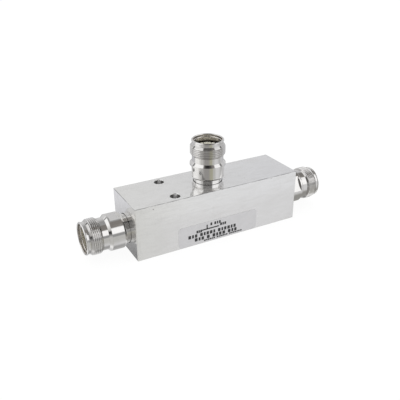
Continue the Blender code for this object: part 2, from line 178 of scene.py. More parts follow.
# How far each jack is screwed round about its own axis, in degrees
JACK_TURNS = {"input": 0.0, "output": 60.0, "tap": -28.0}

# How finely the meshes are made: steps round a turn, a corner or an edge, and spacing of points
TURN_STEPS = 160
BORE_STEPS = 96
CONTACT_STEPS = 48
FILM_CORNER_STEPS = 8
PRINT_CORNER_STEPS = 2
EDGE_BREAK_STEPS = 3
THREAD_STATION = 0.00005
BEVEL_STATION = 0.00016
MERGE_DISTANCE = 0.0000005

# Small rounded edges, whose arcs take at most an edge's length divided by ARC_DIVISOR
FINE_BREAK = 0.00012
ARC_SHARES = (0.0, 0.33, 0.67, 1.0)
ARC_DIVISOR = 2.2
SHORTEST_ARC = 0.000005

# Shading: the angle from which an edge stays sharp, and how much large faces count in the normals
SHARP_ANGLE = math.radians(32)
LARGE_FACE_WEIGHT = 100

# How far a cutter reaches past what it cuts
MARGIN = 0.001


def read_places():
    """Return the bar's box and each jack's place, read from the frame."""
    low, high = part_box("housing")
    shell_low, shell_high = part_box("input_connector_shell")
    axis_height = (shell_low.z + shell_high.z) / 2
    quarter = math.pi / 2
    jacks = {
        "input": Matrix.Translation((low.x, 0.0, axis_height)) @ Matrix.Rotation(-quarter, 4, "Y"),
        "output": Matrix.Translation((high.x, 0.0, axis_height)) @ Matrix.Rotation(quarter, 4, "Y"),
        "tap": Matrix.Translation((0.0, 0.0, high.z)),
    }
    return low, high, axis_height, jacks


BAR_LOW, BAR_HIGH, AXIS_HEIGHT, JACKS = read_places()
PORT_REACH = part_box("tap_connector_shell")[1].z - BAR_HIGH.z
BASKET_TIP = PORT_REACH - BASKET_RECESS
CONTACT_TIP = PORT_REACH - CONTACT_RECESS
SOCKET_FLOOR = PORT_REACH - SOCKET_DEPTH


def add_piece(name, shape, place=None, material=None):
    """Turn a bmesh into an object, smooth where its faces meet at a small angle."""
    bmesh.ops.recalc_face_normals(shape, faces=shape.faces)
    mesh = bpy.data.meshes.new(name)
    shape.to_mesh(mesh)
    shape.free()
    mesh.shade_smooth()
    mesh.set_sharp_from_angle(angle=SHARP_ANGLE)
    piece = bpy.data.objects.new(name, mesh)
    bpy.context.scene.collection.objects.link(piece)
    if place is not None:
        piece.matrix_world = place
    if material is not None:
        mesh.materials.append(material)
    return piece


def add_jack_piece(jack, name, shape, material=None):
    """Turn a jack's mesh about its axis, as far as the jack is screwed in, and put it in place."""
    spin = Matrix.Rotation(math.radians(JACK_TURNS[jack]), 3, "Z")
    bmesh.ops.rotate(shape, verts=shape.verts, matrix=spin)
    return add_piece(jack + name, shape, JACKS[jack], material)


def carve(piece, *cutters):
    """Cut the cutters out of a piece for good and delete them."""
    for cutter in cutters:
        step = piece.modifiers.new(cutter.name, "BOOLEAN")
        step.operation = "DIFFERENCE"
        step.solver = "EXACT"
        step.object = cutter
    bpy.context.view_layer.update()
    graph = bpy.context.evaluated_depsgraph_get()
    carved = bpy.data.meshes.new_from_object(piece.evaluated_get(graph))
    piece.modifiers.clear()
    piece.data = carved
    for cutter in cutters:
        bpy.data.objects.remove(cutter, do_unlink=True)
    return piece


def even_normals(piece):
    """Shade flats and bevels evenly, so that only the small rounded edges between them turn."""
    even = piece.modifiers.new("even_normals", "WEIGHTED_NORMAL")
    even.keep_sharp = True
    even.weight = LARGE_FACE_WEIGHT


def install(piece, slot, *nodes):
    """Ride a piece on the body, in place of the frame's nodes that it stands for."""
    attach(piece, BODY)
    if nodes:
        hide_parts(*nodes)


def rounded(outline, radius):
    """Round the corners of an open outline of (radius, height) points with short arcs."""
    result = [outline[0]]
    for before, corner, after in zip(outline, outline[1:], outline[2:]):
        corner_point = Vector(corner)
        back = Vector(before) - corner_point
        ahead = Vector(after) - corner_point
        turn = back.angle(ahead, math.pi)
        longest = min(back.length, ahead.length) / ARC_DIVISOR
        reach = min(radius / math.tan(turn / 2), longest)
        if reach < SHORTEST_ARC:
            result.append(corner)
            continue
        start = corner_point + back.normalized() * reach
        end = corner_point + ahead.normalized() * reach
        for share in ARC_SHARES:
            on_curve = start.lerp(corner_point, share).lerp(corner_point.lerp(end, share), share)
            result.append(tuple(on_curve))
    result.append(outline[-1])
    return result


def lathe(outline, angles, radius_at=None):
    """Turn a closed outline of (radius, height) points about Z, with one column for each angle.

    radius_at(radius, height, angle) may change the radius from column to column.
    """
    shape = bmesh.new()
    columns = []
    for angle in angles:
        column = []
        for radius, height in outline:
            reach = radius_at(radius, height, angle) if radius_at else radius
            spot = (reach * math.cos(angle), reach * math.sin(angle), height)
            column.append(shape.verts.new(spot))
        columns.append(column)
    count = len(outline)
    for first, second in zip(columns, columns[1:] + columns[:1]):
        for index in range(count):
            after = (index + 1) % count
            if outline[index][0] == 0.0 and outline[after][0] == 0.0:
                continue
            shape.faces.new((first[index], second[index], second[after], first[after]))
    bmesh.ops.remove_doubles(shape, verts=shape.verts, dist=MERGE_DISTANCE)
    return shape


def even_angles(count, extra=()):
    """Return evenly spaced angles round a turn, with some extra ones in their places."""
    angles = [math.tau * index / count for index in range(count)]
    return sorted(angles + [angle % math.tau for angle in extra])


def spaced(start, end, spacing):
    """Return heights from start to end, both included, about a spacing apart."""
    count = max(1, math.ceil(abs(end - start) / spacing))
    return [start + (end - start) * index / count for index in range(count + 1)]


def slope(start, end, spacing):
    """Return the points of a straight line between two outline points, about a spacing apart."""
    count = max(1, math.ceil(abs(end[1] - start[1]) / spacing))
    shares = [index / count for index in range(count + 1)]
    return [(start[0] + (end[0] - start[0]) * share, start[1] + (end[1] - start[1]) * share)
            for share in shares]


def shell_outline():
    """Return a jack shell's section, with close points where the thread and the flats need them."""
    spigot = rounded([
        (REAR_BORE_RADIUS, -SPIGOT_LENGTH),
        (SPIGOT_RADIUS, -SPIGOT_LENGTH),
        (SPIGOT_RADIUS, SEAL_GROOVE_BACK),
        (SEAL_GROOVE_RADIUS, SEAL_GROOVE_BACK),
        (SEAL_GROOVE_RADIUS, SEAL_GROOVE_FRONT),
        (SPIGOT_RADIUS, SEAL_GROOVE_FRONT),
        (SPIGOT_RADIUS, NECK_LENGTH),
        (COLLAR_BACK_RADIUS, NECK_LENGTH),
    ], FINE_BREAK)
    back_bevel = slope((COLLAR_BACK_RADIUS, NECK_LENGTH), (COLLAR_RADIUS, COLLAR_BACK),
                       BEVEL_STATION)
    collar = [
        (COLLAR_RADIUS, COLLAR_BACK + FINE_BREAK),
        (COLLAR_RADIUS, FLATS_FRONT - FINE_BREAK / 4),
        (COLLAR_RADIUS, FLATS_FRONT),
        (COLLAR_RADIUS, COLLAR_FRONT - FINE_BREAK / 2),
    ]
    barrel = rounded([
        (COLLAR_RADIUS, COLLAR_FRONT - FINE_BREAK / 2),
        (COLLAR_RADIUS, COLLAR_FRONT),
        (BARREL_RADIUS, BARREL_BACK),
        (BARREL_RADIUS, BARREL_FRONT),
    ], FINE_BREAK)
    thread = [(THREAD_RADIUS, height)
              for height in spaced(BARREL_FRONT, RELIEF_BACK, THREAD_STATION)]
    socket_step = MOUTH_RADIUS - SOCKET_RADIUS
    front = rounded([
        thread[-1],
        (RELIEF_RADIUS, RELIEF_BACK + FINE_BREAK),
        (RELIEF_RADIUS, RIM_BACK),
        (RIM_RADIUS, RIM_BACK + FINE_BREAK),
        (RIM_RADIUS, PORT_REACH - RIM_BEVEL),
        (RIM_RADIUS - RIM_BEVEL, PORT_REACH),
        (MOUTH_RADIUS + MOUTH_BEVEL / 2, PORT_REACH),
        (MOUTH_RADIUS, PORT_REACH - MOUTH_BEVEL),
        (MOUTH_RADIUS, PORT_REACH - MOUTH_DEPTH),
        (SOCKET_RADIUS, PORT_REACH - MOUTH_DEPTH - socket_step),
        (SOCKET_RADIUS, SOCKET_FLOOR),
        (CORE_RADIUS, SOCKET_FLOOR),
        (CORE_RADIUS, CORE_END),
        (REAR_BORE_RADIUS, CORE_END),
        (REAR_BORE_RADIUS, -SPIGOT_LENGTH),
    ], FINE_BREAK)
    return spigot[1:] + back_bevel[1:] + collar + barrel[1:-1] + thread + front[1:]


def thread_radius(height, angle):
    """Return the threaded band's radius: a right-hand helix, bevelled off at both ends."""
    turns = height / THREAD_PITCH - angle / math.tau
    ridge = abs(2.0 * (turns % 1.0) - 1.0)
    depth = min(1.0, max(0.0, (ridge - THREAD_CREST_SHARE) / THREAD_FLANK_SHARE))
    cut = THREAD_RADIUS - THREAD_DEPTH * depth
    back_share = (height - BARREL_FRONT) / (THREAD_BACK - BARREL_FRONT)
    back_slope = BARREL_RADIUS + (THREAD_RADIUS - BARREL_RADIUS) * back_share
    front_share = (RELIEF_BACK - height) / (RELIEF_BACK - THREAD_FRONT)
    front_slope = RELIEF_RADIUS + (THREAD_RADIUS - RELIEF_RADIUS) * front_share
    return min(cut, back_slope, front_slope)


def shell_radius(radius, height, angle):
    """Return a shell's radius where the thread or a wrench flat changes it."""
    if radius == THREAD_RADIUS:
        return thread_radius(height, angle)
    across = abs(math.cos(angle))
    in_flats = FLATS_BACK < height < FLATS_FRONT and radius > FLATS_HALF_ACROSS
    if in_flats and radius * across > FLATS_HALF_ACROSS:
        return FLATS_HALF_ACROSS / across
    return radius


def make_shell(jack, material):
    """Make one jack shell, with its thread and its two wrench flats."""
    edge = math.acos(FLATS_HALF_ACROSS / COLLAR_RADIUS)
    edges = (edge, -edge, math.pi - edge, math.pi + edge)
    shape = lathe(shell_outline(), even_angles(TURN_STEPS, edges), shell_radius)
    shell = add_jack_piece(jack, "_shell", shape, material)
    even_normals(shell)
    install(shell, "jack_plating", jack + "_connector_shell")


def saw_cutter(jack, name, count, width, inner, outer, bottom, top):
    """Make one cutter of radial saw cuts, evenly spaced, half a pitch off X."""
    shape = bmesh.new()
    middle = Matrix.Translation(((inner + outer) / 2, 0.0, (bottom + top) / 2))
    size = Matrix.Diagonal((outer - inner, width, top - bottom, 1.0))
    for index in range(count):
        turn = Matrix.Rotation((index + 0.5) * math.tau / count, 4, "Z")
        bmesh.ops.create_cube(shape, size=1.0, matrix=turn @ middle @ size)
    return add_jack_piece(jack, name, shape)


def make_basket(jack, material):
    """Make one outer contact: a sleeve with eight spring fingers that swell at their tips."""
    outline = rounded([
        (BEAD_SEAT_RADIUS, SLEEVE_BACK),
        (SLEEVE_TAIL_RADIUS, SLEEVE_BACK),
        (SLEEVE_TAIL_RADIUS, FLANGE_BACK),
        (FLANGE_RADIUS, FLANGE_BACK),
        (FLANGE_RADIUS, FLANGE_FRONT),
        (BASKET_RADIUS, FLANGE_FRONT),
        (BASKET_RADIUS, BASKET_TIP - BASKET_SWELL_START),
        (BASKET_TIP_RADIUS, BASKET_TIP - BASKET_SWELL_END),
        (BASKET_TIP_RADIUS, BASKET_TIP - BASKET_TIP_BEVEL),
        (BASKET_TIP_RADIUS - BASKET_TIP_BEVEL, BASKET_TIP),
        (BASKET_BORE_RADIUS + BASKET_MOUTH_BEVEL, BASKET_TIP),
        (BASKET_BORE_RADIUS, BASKET_TIP - BASKET_TIP_BEVEL),
        (BASKET_BORE_RADIUS, BEAD_SHOULDER),
        (BEAD_SEAT_RADIUS, BEAD_SHOULDER),
        (BEAD_SEAT_RADIUS, SLEEVE_BACK),
    ], FINE_BREAK)
    shape = lathe(outline[1:], even_angles(BORE_STEPS))
    basket = add_jack_piece(jack, "_basket", shape, material)
    cutter = saw_cutter(jack, "_basket_saw", BASKET_SLOTS, BASKET_SLOT_WIDTH,
                        BASKET_BORE_RADIUS - MARGIN, BASKET_TIP_RADIUS + MARGIN,
                        BASKET_TIP - BASKET_SLOT_LENGTH, BASKET_TIP + MARGIN)
    carve(basket, cutter)
    install(basket, "contact_plating", jack + "_outer_contact")


def make_contact(jack, material):
    """Make one centre contact: a slotted socket, a shank and a pin."""
    outline = rounded([
        (0.0, PIN_END),
        (PIN_RADIUS, PIN_END),
        (PIN_RADIUS, BEAD_BACK),
        (SHANK_RADIUS, BEAD_BACK),
        (SHANK_RADIUS, CONTACT_SHOULDER),
        (CONTACT_RADIUS, CONTACT_SHOULDER),
        (CONTACT_RADIUS, CONTACT_TIP - CONTACT_TIP_BEVEL_LENGTH),
        (CONTACT_RADIUS - CONTACT_TIP_BEVEL, CONTACT_TIP),
        (CONTACT_BORE_RADIUS + CONTACT_MOUTH_BEVEL, CONTACT_TIP),
        (CONTACT_BORE_RADIUS, CONTACT_TIP - CONTACT_MOUTH_BEVEL),
        (CONTACT_BORE_RADIUS, CONTACT_TIP - CONTACT_BORE_DEPTH),
        (0.0, CONTACT_TIP - CONTACT_BORE_DEPTH),
    ], FINE_BREAK)
    shape = lathe(outline, even_angles(CONTACT_STEPS))
    contact = add_jack_piece(jack, "_socket", shape, material)
    cutter = saw_cutter(jack, "_socket_saw", CONTACT_SLOTS, CONTACT_SLOT_WIDTH,
                        CONTACT_BORE_RADIUS / 2, CONTACT_RADIUS + MARGIN,
                        CONTACT_TIP - CONTACT_SLOT_LENGTH, CONTACT_TIP + MARGIN)
    carve(contact, cutter)
    install(contact, "contact_plating", jack + "_centre_contact")


def bore_cutter(name, outline, place):
    """Make a turned cutter."""
    return add_piece(name, lathe(outline, even_angles(BORE_STEPS)), place)


def housing_cutters():
    """Return the cutters of the main bore, the tap bore and the two screw holes."""
    length = BAR_HIGH.x - BAR_LOW.x
    height = BAR_HIGH.z - BAR_LOW.z
    main = [
        (0.0, -MARGIN),
        (PORT_SEAT_RADIUS, -MARGIN),
        (PORT_SEAT_RADIUS, PORT_SEAT_DEPTH),
        (MAIN_BORE_RADIUS, PORT_SEAT_DEPTH),
        (MAIN_BORE_RADIUS, length - PORT_SEAT_DEPTH),
        (PORT_SEAT_RADIUS, length - PORT_SEAT_DEPTH),
        (PORT_SEAT_RADIUS, length + MARGIN),
        (0.0, length + MARGIN),
    ]
    tap = [
        (0.0, AXIS_HEIGHT),
        (TAP_BORE_RADIUS, AXIS_HEIGHT),
        (TAP_BORE_RADIUS, height - PORT_SEAT_DEPTH),
        (PORT_SEAT_RADIUS, height - PORT_SEAT_DEPTH),
        (PORT_SEAT_RADIUS, height + MARGIN),
        (0.0, height + MARGIN),
    ]
    flare = SCREW_HOLE_RADIUS + SCREW_HOLE_CHAMFER + MARGIN
    screw = [
        (0.0, -MARGIN),
        (flare, -MARGIN),
        (SCREW_HOLE_RADIUS, SCREW_HOLE_CHAMFER),
        (SCREW_HOLE_RADIUS, height - SCREW_HOLE_CHAMFER),
        (flare, height + MARGIN),
        (0.0, height + MARGIN),
    ]
    along = Matrix.Translation((BAR_LOW.x, 0.0, AXIS_HEIGHT)) @ Matrix.Rotation(math.pi / 2, 4, "Y")
    screw_x = BAR_LOW.x + SCREW_HOLE_FROM_END
    return [
        bore_cutter("main_bore", main, along),
        bore_cutter("tap_bore", tap, Matrix.Identity(4)),
        bore_cutter("front_screw_hole", screw,
                    Matrix.Translation((screw_x, -SCREW_HOLE_SPACING / 2, 0.0))),
        bore_cutter("back_screw_hole", screw,
                    Matrix.Translation((screw_x, SCREW_HOLE_SPACING / 2, 0.0))),
    ]


def make_bar(material):
    """Make the bar, with broken edges and all its bores."""
    size = BAR_HIGH - BAR_LOW
    middle = (BAR_HIGH + BAR_LOW) / 2
    shape = bmesh.new()
    bmesh.ops.create_cube(shape, size=1.0,
                          matrix=Matrix.Translation(middle) @ Matrix.Diagonal((*size, 1.0)))
    bmesh.ops.bevel(shape, geom=shape.edges[:], offset=EDGE_BREAK, segments=EDGE_BREAK_STEPS,
                    profile=0.5, affect="EDGES")
    bar = add_piece("bar", shape, None, material)
    carve(bar, *housing_cutters())
    bar.data.shade_smooth()
    bar.data.set_sharp_from_angle(angle=SHARP_ANGLE)
    even_normals(bar)
    install(bar, "aluminium_bar", "housing")


def rounded_plate(shape, middle, size, radius, back, thickness, steps):
    """Add a flat plate with rounded corners to a bmesh.

    middle and size are pairs along X and Z, and back is the place of its back along Y.
    """
    outline = []
    for quarter, (side_x, side_z) in enumerate(((1, 1), (-1, 1), (-1, -1), (1, -1))):
        corner_x = middle[0] + side_x * (size[0] / 2 - radius)
        corner_z = middle[1] + side_z * (size[1] / 2 - radius)
        for index in range(steps + 1):
            angle = math.pi / 2 * (quarter + index / steps)
            outline.append(shape.verts.new((corner_x + radius * math.cos(angle), back,
                                            corner_z + radius * math.sin(angle))))
    face = shape.faces.new(outline)
    grown = bmesh.ops.extrude_face_region(shape, geom=[face])
    front = [item for item in grown["geom"] if isinstance(item, bmesh.types.BMVert)]
    bmesh.ops.translate(shape, verts=front, vec=(0.0, -thickness, 0.0))


def make_label(film_material, print_material):
    """Make the label's film and its generic print: rows of plain blocks and a plain tee mark."""
    low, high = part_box("label")
    film_back = BAR_LOW.y - FILM_GAP
    shape = bmesh.new()
    rounded_plate(shape, ((low.x + high.x) / 2, (low.z + high.z) / 2),
                  (high.x - low.x, high.z - low.z), FILM_CORNER_RADIUS, film_back, FILM_THICKNESS,
                  FILM_CORNER_STEPS)
    install(add_piece("label_film", shape, None, film_material), "label_film", "label")
    marks = bmesh.new()
    print_back = film_back - FILM_THICKNESS
    for row in PRINT_ROWS:
        add_print_row(marks, low, print_back, *row)
    for middle, size in TEE_PLATES:
        rounded_plate(marks, (low.x + middle[0], low.z + middle[1]), size, TEE_CORNER_RADIUS,
                      print_back, PRINT_THICKNESS, PRINT_CORNER_STEPS)
    install(add_piece("label_print", marks, None, print_material), "label_film")


def add_print_row(shape, corner, back, left, middle, height, width, space, groups):
    """Add one row of plain upright blocks, in groups."""
    x = corner.x + left
    for blocks in groups:
        for index in range(blocks):
            block = width * BLOCK_WIDTH_SHARES[index % len(BLOCK_WIDTH_SHARES)]
            radius = min(block, height) / CORNER_RADII_PER_BLOCK
            rounded_plate(shape, (x + block / 2, corner.z + middle), (block, height), radius, back,
                          PRINT_THICKNESS, PRINT_CORNER_STEPS)
            x += block + space
        x += GROUP_SPACE_SHARE * width


class Nodes:
    """A short way to build one node tree."""

    def __init__(self, tree):
        """Start with an empty tree."""
        self.tree = tree
        tree.nodes.clear()

    def add(self, kind, inputs=None, **settings):
        """Add a node, set its properties, and feed its inputs with values or with sockets.

        A colour is given as three numbers.
        """
        made = self.tree.nodes.new(kind)
        for key, value in settings.items():
            setattr(made, key, value)
        for key, value in (inputs or {}).items():
            socket = made.inputs[key]
            if isinstance(value, bpy.types.NodeSocket):
                self.tree.links.new(value, socket)
            elif socket.type == "RGBA":
                socket.default_value = (*value, 1.0)
            else:
                socket.default_value = value
        return made

    def place(self):
        """Return a point's place in the object's own axes."""
        return self.add("ShaderNodeTexCoord").outputs["Object"]

    def split(self, vector):
        """Return a vector's X, Y and Z."""
        return self.add("ShaderNodeSeparateXYZ", {0: vector}).outputs[:]

    def math(self, operation, first, second=0.0, third=0.0):
        """Add a math node and return its result."""
        return self.add("ShaderNodeMath", {0: first, 1: second, 2: third},
                        operation=operation).outputs[0]

    def noise(self, place, fineness, detail, roughness):
        """Return a noise whose fineness is given along X, Y and Z."""
        scaled = self.add("ShaderNodeMapping", {"Vector": place, "Scale": fineness}).outputs[0]
        made = self.add("ShaderNodeTexNoise", {"Vector": scaled, "Scale": 1.0, "Detail": detail,
                                               "Roughness": roughness})
        return made.outputs["Fac"]

    def ramp(self, value, low, high, out_low, out_high):
        """Map a value from one range to another, with clamped ends."""
        return self.add("ShaderNodeMapRange", {"Value": value, "From Min": low, "From Max": high,
                                               "To Min": out_low, "To Max": out_high}).outputs[0]

    def blend(self, share, first, second):
        """Mix two colours."""
        return self.add("ShaderNodeMix", {0: share, 6: first, 7: second},
                        data_type="RGBA").outputs[2]


def new_material(name):
    """Start a node material."""
    material = bpy.data.materials.new(name)
    material.use_nodes = True
    return material, Nodes(material.node_tree)


def finish_material(nodes, tone, rough, normal, metal=0.0):
    """Add the Principled shader and the output."""
    shader = nodes.add("ShaderNodeBsdfPrincipled", {"Base Color": tone, "Metallic": metal,
                                                    "Roughness": rough, "Normal": normal})
    nodes.add("ShaderNodeOutputMaterial", {"Surface": shader.outputs[0]})


def bump(nodes, height, strength, depth):
    """Turn a height into a bumped normal."""
    return nodes.add("ShaderNodeBump", {"Height": height, "Strength": strength,
                                        "Distance": depth}).outputs[0]


def distance(nodes, first, second):
    """Return how far two offsets at right angles reach together."""
    return nodes.math("SQRT", nodes.math("MULTIPLY_ADD", first, first,
                                         nodes.math("MULTIPLY", second, second)))


def mottled(nodes, pattern, dark, light):
    """Return a tone that drifts between two colours."""
    return nodes.blend(nodes.ramp(pattern, 0.35, 0.65, 0.0, 1.0), dark, light)


# Depth of turned and drawn marks, and of the grain of plastic
MARK_DEPTH = 0.00002
GRAIN_DEPTH = 0.00003

# Patterns on the bar: how fine they are along X, Y and Z, their detail and their roughness
BAR_PATTERNS = {
    "drawn": ((60.0, 2600.0, 2600.0), 4.0, 0.6),
    "brushed": ((90.0, 1300.0, 1300.0), 5.0, 0.7),
    "blotch": ((70.0, 70.0, 70.0), 4.0, 0.5),
    "haze": ((120.0, 260.0, 420.0), 3.0, 0.5),
    "smears": ((420.0, 420.0, 90.0), 4.0, 0.6),
    "edge_reflection": ((130.0, 130.0, 130.0), 3.0, 0.6),
}

# Marks laid over the bar's tone in turn: pattern, where it starts and is full, share and colour
BAR_MARKS = (
    ("blotch", 0.35, 0.65, 0.30, (0.95, 0.95, 0.955)),
    ("haze", 0.45, 0.75, 0.36, (0.80, 0.79, 0.775)),
    ("brushed", 0.40, 0.75, 0.32, (0.76, 0.755, 0.75)),
    ("smears", 0.58, 0.78, 0.38, (0.78, 0.77, 0.76)),
)

# The bar's colours and its painted lower shade, how metallic and rough it is, and how deep its
# drawn marks look
BAR_INPUT_END = (0.95, 0.948, 0.928)
BAR_OUTPUT_END = (0.94, 0.942, 0.95)
BAR_LOWER_SHADE = (0.80, 0.79, 0.785)
BAR_METAL = 0.84
HAZE_ROUGHNESS = (0.08, 0.12)
DRAWN_ROUGHNESS = (-0.01, 0.02)
DRAWN_BUMP = 0.03

# Painted shade on the bar's lower part: where it is full and ends, in bar heights, its share, and
# how much of that share is left at the input end, up to a part of the way along
LOWER_SHADE_FULL = 0.5
LOWER_SHADE_END = 0.8
LOWER_SHADE_SHARE = 0.6
LOWER_SHADE_INPUT_REST = 0.2
LOWER_SHADE_INPUT_REACH = 0.3

# Small specks all over the bar, and pits in its front face: place along X, height and radius
SPECKS = (0.40, 0.39, 0.38)
SPECK_FINENESS = 160.0
SPECK_CORE = 0.03
SPECK_EDGE = 0.06
SPECK_SHARE = 0.25
PITS = (0.22, 0.20, 0.19)
PIT_SHARE = 0.9
FACE_PITS = ((-0.0410, 0.0288, 0.0004), (0.0332, 0.0302, 0.00035))

# Screw holes, with the sides that daylight reaches: direction round from +X, and half width
HOLE_SHADE = (0.20, 0.195, 0.19)
HOLE_DAYLIGHT = (0.86, 0.855, 0.85)
HOLE_METAL = 0.30
HOLE_EXTRA_ROUGHNESS = 0.06
LIT_HOLE_SIDES = ((math.radians(62), math.radians(20)), (math.radians(196), math.radians(44)))
DAYLIGHT_SOFTNESS = 0.04

# Painted dark reflection along the upper edges: colour, how far it reaches into the bar, least and
# greatest share
EDGE_DARK_REFLECTION = (0.14, 0.14, 0.15)
EDGE_REFLECTION_REACH = EDGE_BREAK * 0.8
END_EDGE_REFLECTION_REACH = EDGE_BREAK * 0.6
EDGE_REFLECTION_SHARES = (0.20, 0.85)


def bar_tone(nodes, patterns, x, z):
    """Return the bar's tone: cooler towards the output end, darker low down as painted shade, and
    marked.
    """
    lengthwise = nodes.ramp(x, BAR_LOW.x, BAR_HIGH.x / 2, 0.0, 1.0)
    tone = nodes.blend(lengthwise, BAR_INPUT_END, BAR_OUTPUT_END)
    # Painted shade: darker low down, less so towards the input end
    lower_shade = nodes.ramp(z, BAR_HIGH.z * LOWER_SHADE_FULL, BAR_HIGH.z * LOWER_SHADE_END, LOWER_SHADE_SHARE, 0.0)
    rest = nodes.ramp(lengthwise, 0.0, LOWER_SHADE_INPUT_REACH, LOWER_SHADE_INPUT_REST, 1.0)
    lower_shade = nodes.math("MULTIPLY", lower_shade, rest)
    tone = nodes.blend(lower_shade, tone, BAR_LOWER_SHADE)
    for pattern, start, full, share, colour in BAR_MARKS:
        tone = nodes.blend(nodes.ramp(patterns[pattern], start, full, 0.0, share), tone, colour)
    return tone


def add_pits(nodes, tone, place, x, y, z):
    """Lay small specks all over the bar's tone, and the two pits in the front face."""
    cells = nodes.add("ShaderNodeTexVoronoi", {"Vector": place, "Scale": SPECK_FINENESS,
                                               "Randomness": 1.0})
    specks = nodes.ramp(cells.outputs["Distance"], SPECK_CORE, SPECK_EDGE, SPECK_SHARE, 0.0)
    tone = nodes.blend(specks, tone, SPECKS)
    in_face = nodes.math("LESS_THAN", y, BAR_LOW.y + EDGE_BREAK)
    for pit_x, pit_z, radius in FACE_PITS:
        reach = distance(nodes, nodes.math("SUBTRACT", x, pit_x), nodes.math("SUBTRACT", z, pit_z))
        spot = nodes.ramp(reach, radius / 2, radius, PIT_SHARE, 0.0)
        tone = nodes.blend(nodes.math("MULTIPLY", spot, in_face), tone, PITS)
    return tone


def screw_hole_looks(nodes, x, y):
    """Return where the screw holes are, and their tone: dark, but for sides that daylight reaches.

    Both holes look alike, so the back one's offset along Y is taken the other way round.
    """
    from_x = nodes.math("SUBTRACT", x, BAR_LOW.x + SCREW_HOLE_FROM_END)
    from_y = nodes.math("SUBTRACT", nodes.math("ABSOLUTE", y), SCREW_HOLE_SPACING / 2)
    from_y = nodes.math("MULTIPLY", from_y, nodes.math("SIGN", y))
    from_axis = distance(nodes, from_x, from_y)
    in_hole = nodes.math("LESS_THAN", from_axis, SCREW_HOLE_RADIUS + SCREW_HOLE_CHAMFER / 3)
    lit = 0.0
    for facing, half_width in LIT_HOLE_SIDES:
        along_side = nodes.math("MULTIPLY_ADD", from_x, math.cos(facing),
                                nodes.math("MULTIPLY", from_y, math.sin(facing)))
        lean = nodes.math("DIVIDE", along_side, from_axis)
        edge = math.cos(half_width)
        side = nodes.ramp(lean, edge - DAYLIGHT_SOFTNESS, edge + DAYLIGHT_SOFTNESS, 0.0, 1.0)
        lit = nodes.math("MAXIMUM", lit, side)
    return in_hole, nodes.blend(lit, HOLE_SHADE, HOLE_DAYLIGHT)


def painted_edge_reflection(nodes, pattern, x, y, z):
    """Return how far the bar's upper front edge and upper input end edge carry a painted dark
    reflection.
    """
    on_top = nodes.math("GREATER_THAN", z, BAR_HIGH.z - EDGE_REFLECTION_REACH)
    front_edge = nodes.math("LESS_THAN", y, BAR_LOW.y + EDGE_REFLECTION_REACH)
    end_edge = nodes.math("LESS_THAN", x, BAR_LOW.x + END_EDGE_REFLECTION_REACH)
    top_edge = nodes.math("MULTIPLY", on_top, nodes.math("MAXIMUM", front_edge, end_edge))
    return nodes.math("MULTIPLY", top_edge, nodes.ramp(pattern, 0.40, 0.56, *EDGE_REFLECTION_SHARES))


def aluminium_material():
    """Fine machined bare aluminium, with faint marks along the bar, soft blotches, painted shade
    low down and a painted dark reflection along its upper edges.
    """
    material, nodes = new_material("machined_aluminium")
    place = nodes.place()
    x, y, z = nodes.split(place)
    patterns = {name: nodes.noise(place, *pattern) for name, pattern in BAR_PATTERNS.items()}
    tone = bar_tone(nodes, patterns, x, z)
    tone = add_pits(nodes, tone, place, x, y, z)
    in_hole, hole_tone = screw_hole_looks(nodes, x, y)
    tone = nodes.blend(in_hole, tone, hole_tone)
    # Painted dark reflection along the upper front and input end edges
    tone = nodes.blend(painted_edge_reflection(nodes, patterns["edge_reflection"], x, y, z), tone, EDGE_DARK_REFLECTION)
    rough = nodes.ramp(patterns["haze"], 0.3, 0.7, *HAZE_ROUGHNESS)
    rough = nodes.math("ADD", rough, nodes.ramp(patterns["drawn"], 0.35, 0.65, *DRAWN_ROUGHNESS))
    rough = nodes.math("MULTIPLY_ADD", in_hole, HOLE_EXTRA_ROUGHNESS, rough)
    metal = nodes.ramp(in_hole, 0.0, 1.0, BAR_METAL, HOLE_METAL)
    normal = bump(nodes, patterns["drawn"], DRAWN_BUMP, MARK_DEPTH)
    finish_material(nodes, tone, rough, normal, metal)
    return material


# The jacks' plating: turning rings and clouds, as patterns like the bar's, and the looks outside
PLATING_RINGS = ((30.0, 30.0, 5200.0), 4.0, 0.65)
PLATING_CLOUD = ((260.0, 260.0, 260.0), 3.0, 0.5)
PLATING_DARK = (0.765, 0.755, 0.745)
PLATING_LIGHT = (0.795, 0.785, 0.775)
PLATING_ROUGHNESS = (0.07, 0.12)
PLATING_BUMP = 0.08
# Painted shade in the thread's roots: its colour and greatest share
THREAD_ROOT_SHADE = (0.30, 0.29, 0.28)
THREAD_ROOT_SHADE_SHARE = 0.35

# The mouth's wall, rougher, less metallic and painted darker as shade, and its deepest part,
# painted dark as shade, which starts a little over the basket's tips
MOUTH_WALL_SHADE = (0.66, 0.62, 0.58)
MOUTH_WALL_SHADE_SHARE = 0.8
MOUTH_WALL_METAL = 0.85
MOUTH_WALL_EXTRA_ROUGHNESS = 0.12
MOUTH_WALL_BUMP = 0.01
MOUTH_DEEP_SHADE = (0.10, 0.085, 0.075)
MOUTH_SHADE_FULL_HEIGHT = 0.0002
MOUTH_SHADE_END_HEIGHT = 0.0016


